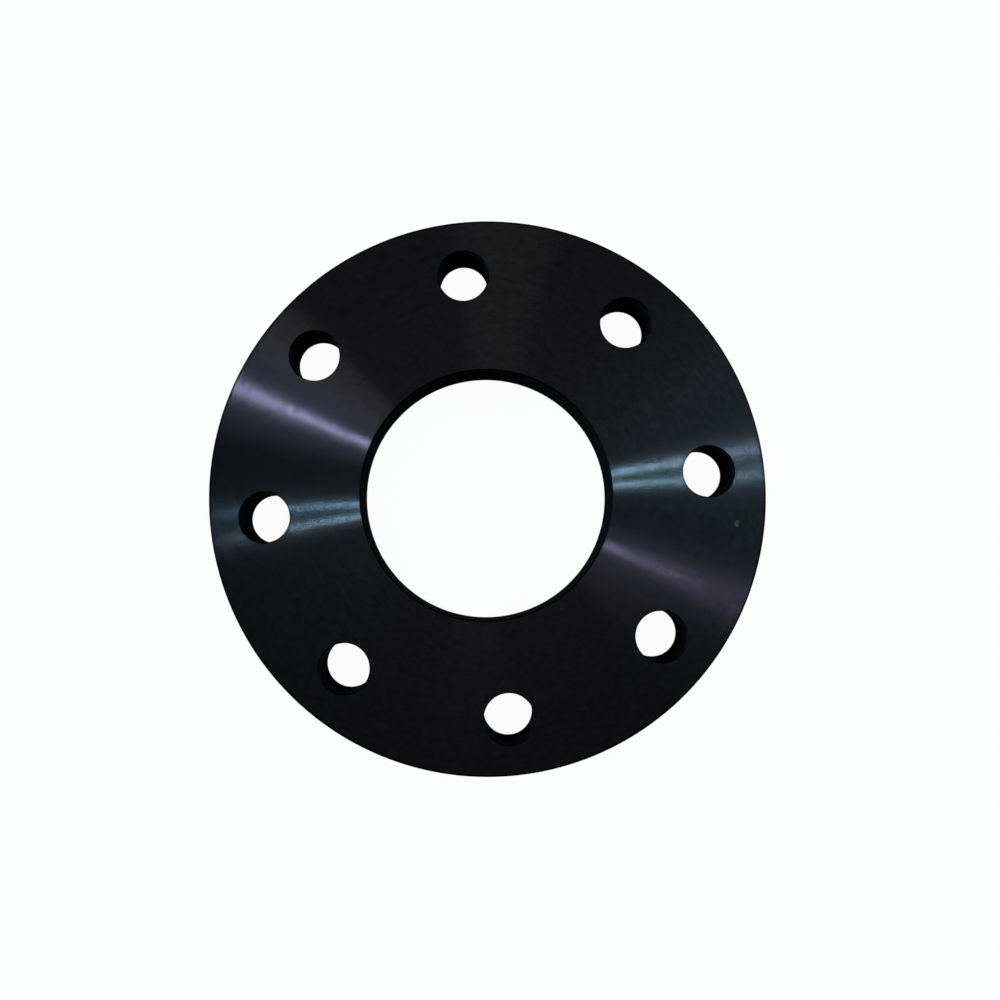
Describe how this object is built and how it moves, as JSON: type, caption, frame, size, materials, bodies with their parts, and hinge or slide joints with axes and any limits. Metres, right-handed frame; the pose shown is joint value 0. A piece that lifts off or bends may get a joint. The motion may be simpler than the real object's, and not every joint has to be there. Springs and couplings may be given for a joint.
{
  "type": "plate flange",
  "caption": "Flat plate flange of near-black turned steel: a disc with a plain bore for a pipe and a ring of bolt holes, welded to the pipe and bolted to a matching flange.",
  "frame": {"origin": "centre of the bore on the back face, on which the flange lies", "axes": "+Z along the bore axis, from the back face to the sealing face; +X and +Y each midway between two bolt holes"},
  "size_m": [0.2, 0.2, 0.02],
  "materials": {
    "turned_steel": "dark turned steel with fine concentric lathe marks, satin"
  },
  "bodies": {
    "root": {"flange_plate": "turned_steel"}
  },
  "joints": []
}
